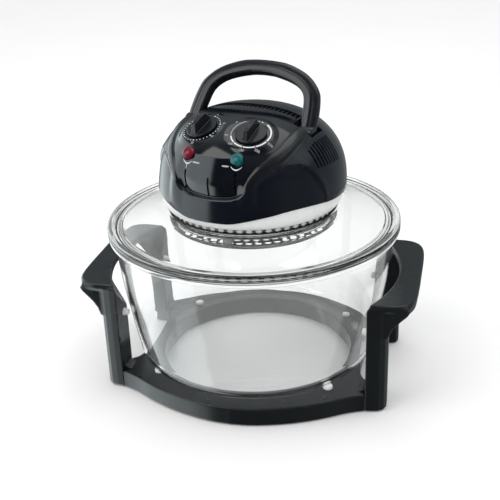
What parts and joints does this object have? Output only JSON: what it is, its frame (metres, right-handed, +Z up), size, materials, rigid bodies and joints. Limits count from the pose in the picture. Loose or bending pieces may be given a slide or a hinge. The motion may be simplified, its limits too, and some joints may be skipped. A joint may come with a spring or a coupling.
{
  "type": "halogen oven",
  "caption": "Countertop halogen oven: round glass bowl in a black two-grip stand, loose glass lid carrying a black domed heater head with dials and a folding handle",
  "frame": {"origin": "centre of the stand's footprint on the table", "axes": "+Z up, grips on +X and -X, front of the stand towards -Y; the head is turned 14.2 degrees clockwise against the stand"},
  "size_m": [0.382, 0.33, 0.36],
  "materials": {
    "stand_plastic": "satin charcoal black plastic",
    "screw_steel": "zinc plated steel",
    "bumper_white": "milky silicone",
    "foot_rubber": "black rubber",
    "bowl_glass": "clear heat resistant glass",
    "lid_glass": "clear heat resistant glass",
    "gasket_silicone": "milky silicone",
    "collar_white": "white heat resistant plastic",
    "clamp_steel": "plain steel",
    "housing_black": "high gloss black plastic",
    "hood_black": "high gloss black plastic",
    "inner_black": "moulded black plastic",
    "lens_red": "clear red plastic",
    "lens_green": "clear green plastic",
    "neon": "neon lamp",
    "control_case": "white engineering plastic",
    "knob_black": "gloss black plastic",
    "handle_black": "gloss black plastic",
    "switch_black": "black plastic",
    "plunger_red": "red plastic",
    "reflector_alu": "bright aluminium",
    "guard_chrome": "bright plated steel",
    "quartz": "quartz tube",
    "ceramic": "white ceramic",
    "fan_alu": "pressed aluminium",
    "iron": "laminated iron",
    "copper": "varnished copper winding",
    "bronze": "sintered bronze",
    "fan_plastic": "black plastic",
    "mica": "mica board"
  },
  "bodies": {
    "stand": {"base_ring": "stand_plastic", "handle_frame_left": "stand_plastic", "handle_frame_right": "stand_plastic", "stand_screws": "screw_steel", "base_bumpers": "bumper_white", "post_bumpers": "bumper_white", "stand_feet": "foot_rubber"},
    "bowl": {"glass_bowl": "bowl_glass"},
    "lid": {"glass_lid": "lid_glass", "lid_gasket": "gasket_silicone", "collar_ring": "collar_white", "clamp_ring": "clamp_steel", "clamp_screws": "screw_steel", "lower_housing": "housing_black", "upper_housing": "housing_black", "hood_border": "hood_black", "control_hood": "hood_black", "channel_strip": "inner_black", "housing_frame": "inner_black", "housing_screws": "screw_steel", "power_lens": "lens_red", "heat_lens": "lens_green", "neon_lamps": "neon", "timer_body": "control_case", "thermostat_body": "control_case", "switch_body": "switch_black", "reflector_dish": "reflector_alu", "guard_dish": "guard_chrome", "guard_brackets": "guard_chrome", "halogen_tube": "quartz", "tube_holders": "ceramic", "motor_stator": "iron", "motor_coil": "copper", "motor_bracket": "clamp_steel", "shaft_bushes": "bronze", "heat_baffle": "mica", "baffle_spacers": "clamp_steel", "thermal_cutout": "clamp_steel", "terminal_block": "control_case", "cord_gland": "inner_black"},
    "timer": {"timer_shaft": "screw_steel", "timer_knob": "knob_black"},
    "thermostat": {"thermostat_shaft": "screw_steel", "thermostat_knob": "knob_black"},
    "handle": {"carry_handle": "handle_black", "handle_pins": "screw_steel"},
    "plunger": {"switch_plunger": "plunger_red"},
    "fan": {"hot_air_fan": "fan_alu", "fan_shaft": "screw_steel", "motor_rotor": "iron", "cooling_fan": "fan_plastic"}
  },
  "joints": [
    {"name": "bowl_lift", "type": "slide", "parent": "stand", "child": "bowl", "axis": [0, 0, 1], "range_m": [0, 0.2]},
    {"name": "lid_lift", "type": "slide", "parent": "bowl", "child": "lid", "axis": [0, 0, 1], "range_m": [0, 0.2]},
    {"name": "handle_fold", "type": "hinge", "parent": "lid", "child": "handle", "pos_m": [-0.00086, -0.00339, 0.2937], "axis": [0.9694, -0.2453, 0], "range_deg": [0, 38]},
    {"name": "timer_turn", "type": "hinge", "parent": "lid", "child": "timer", "pos_m": [-0.04136, -0.04524, 0.3045], "axis": [-0.2072, -0.3362, 0.9187], "range_deg": [-300, 0]},
    {"name": "thermostat_turn", "type": "hinge", "parent": "lid", "child": "thermostat", "pos_m": [0.01487, -0.05946, 0.3045], "axis": [0.0224, -0.3943, 0.9187], "range_deg": [-270, 0]},
    {"name": "fan_spin", "type": "hinge", "parent": "lid", "child": "fan", "pos_m": [0, 0, 0.23], "axis": [0, 0, 1], "continuous": true},
    {"name": "plunger_slide", "type": "slide", "parent": "lid", "child": "plunger", "axis": [0, 0, 1], "range_m": [0, 0.0015]}
  ],
  "couplings": [
    {"joint": "plunger_slide", "follows": "handle_fold", "m_per_rad": 0.0018}
  ]
}
